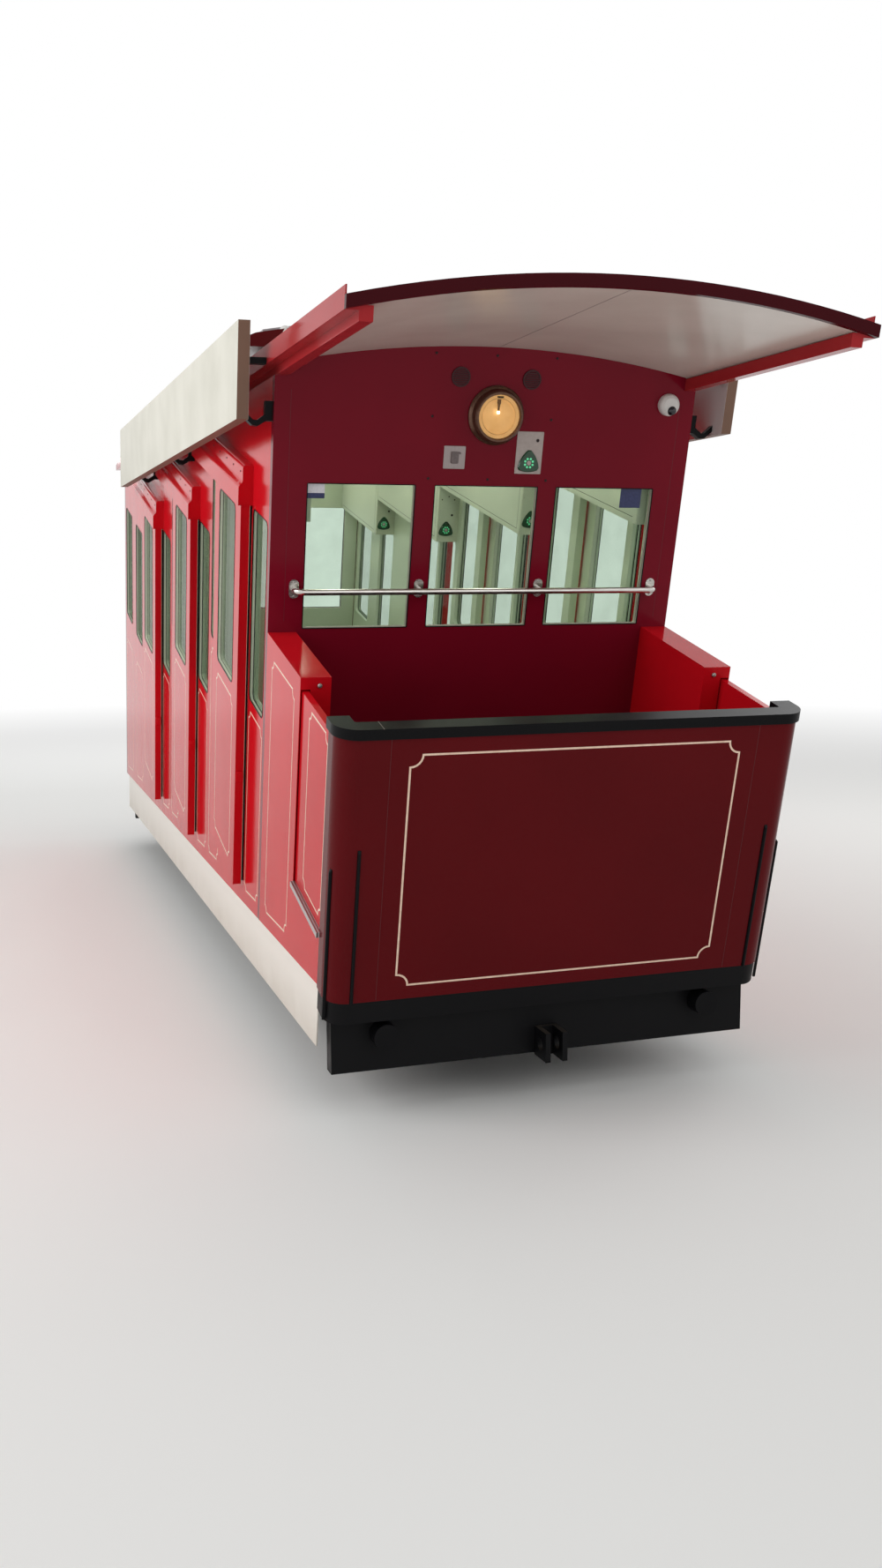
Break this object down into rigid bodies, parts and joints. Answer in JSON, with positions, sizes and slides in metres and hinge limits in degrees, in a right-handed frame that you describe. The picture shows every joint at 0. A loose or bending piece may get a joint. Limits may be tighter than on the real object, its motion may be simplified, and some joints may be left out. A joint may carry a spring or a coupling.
{
  "type": "funicular car",
  "caption": "Funicular rail car with an open gated platform, arched canopy roof and a stepped cabin with sliding doors that run in header boxes along both sides.",
  "frame": {"origin": "middle of the car's box at the height of the lowest wheel flange, 25 mm below the rail tops", "axes": "+Y down the slope along the rails, +X to the right as seen from the uphill platform, +Z square to the rails. On its track of 25 percent the posts stand plumb; on level rails they lean uphill by 14 degrees"},
  "size_m": [2.586, 8.7173, 3.8578],
  "materials": {
    "frame_black": "satin",
    "black_rubber": "matte",
    "floor_covering": "studded matte",
    "white_plastic": "gloss",
    "window_glass": "clear, slightly green",
    "red_paint": "gloss",
    "dark_red_paint": "gloss",
    "threshold_aluminium": "brushed",
    "cream_lining": "satin",
    "stainless_steel": "polished",
    "lamp_bronze": "satin, warm bronze",
    "lamp_glass": "clear, lit warm from behind",
    "roof_white": "gloss",
    "pale_lid": "satin",
    "sign_ivory": "satin",
    "skirt_grey": "satin",
    "wheel_steel": "worn tread"
  },
  "bodies": {
    "car": {"axle_boxes": "frame_black", "buffers": "black_rubber", "cabin_floor": "floor_covering", "camera_housing": "white_plastic", "end_glass": "window_glass", "end_wall_downhill": "red_paint", "end_wall_uphill": "dark_red_paint", "equipment_block": "frame_black", "fascias": "dark_red_paint", "front_valance": "frame_black", "gate_pockets": "red_paint", "gate_thresholds": "threshold_aluminium", "gear_covers": "cream_lining", "grab_rail": "stainless_steel", "gutters": "dark_red_paint", "header_boxes": "red_paint", "headlamps": "lamp_bronze", "lamp_lenses": "lamp_glass", "parapet": "red_paint", "parapet_rail": "black_rubber", "platform_floor": "floor_covering", "platform_sides": "red_paint", "rail_brake": "frame_black", "roof": "roof_white", "roof_unit": "dark_red_paint", "roof_unit_lid": "pale_lid", "rope_anchor": "frame_black", "side_glass": "window_glass", "side_walls": "red_paint", "sign_brackets": "frame_black", "signs": "sign_ivory", "skirts": "skirt_grey", "speakers": "dark_red_paint", "underframe": "frame_black"},
    "door_left_1": {"door_left_1": "red_paint", "door_glass_left_1": "window_glass"},
    "door_right_1": {"door_right_1": "red_paint", "door_glass_right_1": "window_glass"},
    "door_left_2": {"door_left_2": "red_paint", "door_glass_left_2": "window_glass"},
    "door_right_2": {"door_right_2": "red_paint", "door_glass_right_2": "window_glass"},
    "door_left_3": {"door_left_3": "red_paint", "door_glass_left_3": "window_glass"},
    "door_right_3": {"door_right_3": "red_paint", "door_glass_right_3": "window_glass"},
    "gate_left": {"gate_left": "red_paint"},
    "gate_right": {"gate_right": "red_paint"},
    "wheelset_uphill": {"wheelset_uphill": "wheel_steel"},
    "wheelset_downhill": {"wheelset_downhill": "wheel_steel"}
  },
  "joints": [
    {"name": "wheelset_uphill_spin", "type": "hinge", "parent": "car", "child": "wheelset_uphill", "pos_m": [0, -1.97384, 0.305], "axis": [1, 0, 0], "continuous": true},
    {"name": "wheelset_downhill_spin", "type": "hinge", "parent": "car", "child": "wheelset_downhill", "pos_m": [0, 2.82616, 0.305], "axis": [1, 0, 0], "continuous": true},
    {"name": "door_left_1_slide", "type": "slide", "parent": "car", "child": "door_left_1", "axis": [0, 0.9701, 0.2425], "range_m": [0, 0.745]},
    {"name": "door_right_1_slide", "type": "slide", "parent": "car", "child": "door_right_1", "axis": [0, 0.9701, 0.2425], "range_m": [0, 0.745]},
    {"name": "door_left_2_slide", "type": "slide", "parent": "car", "child": "door_left_2", "axis": [0, 0.9701, 0.2425], "range_m": [0, 0.745]},
    {"name": "door_right_2_slide", "type": "slide", "parent": "car", "child": "door_right_2", "axis": [0, 0.9701, 0.2425], "range_m": [0, 0.745]},
    {"name": "door_left_3_slide", "type": "slide", "parent": "car", "child": "door_left_3", "axis": [0, 0.9701, 0.2425], "range_m": [0, 0.745]},
    {"name": "door_right_3_slide", "type": "slide", "parent": "car", "child": "door_right_3", "axis": [0, 0.9701, 0.2425], "range_m": [0, 0.745]},
    {"name": "gate_left_slide", "type": "slide", "parent": "car", "child": "gate_left", "axis": [0, 0.9701, 0.2425], "range_m": [0, 0.54]},
    {"name": "gate_right_slide", "type": "slide", "parent": "car", "child": "gate_right", "axis": [0, 0.9701, 0.2425], "range_m": [0, 0.54]}
  ]
}
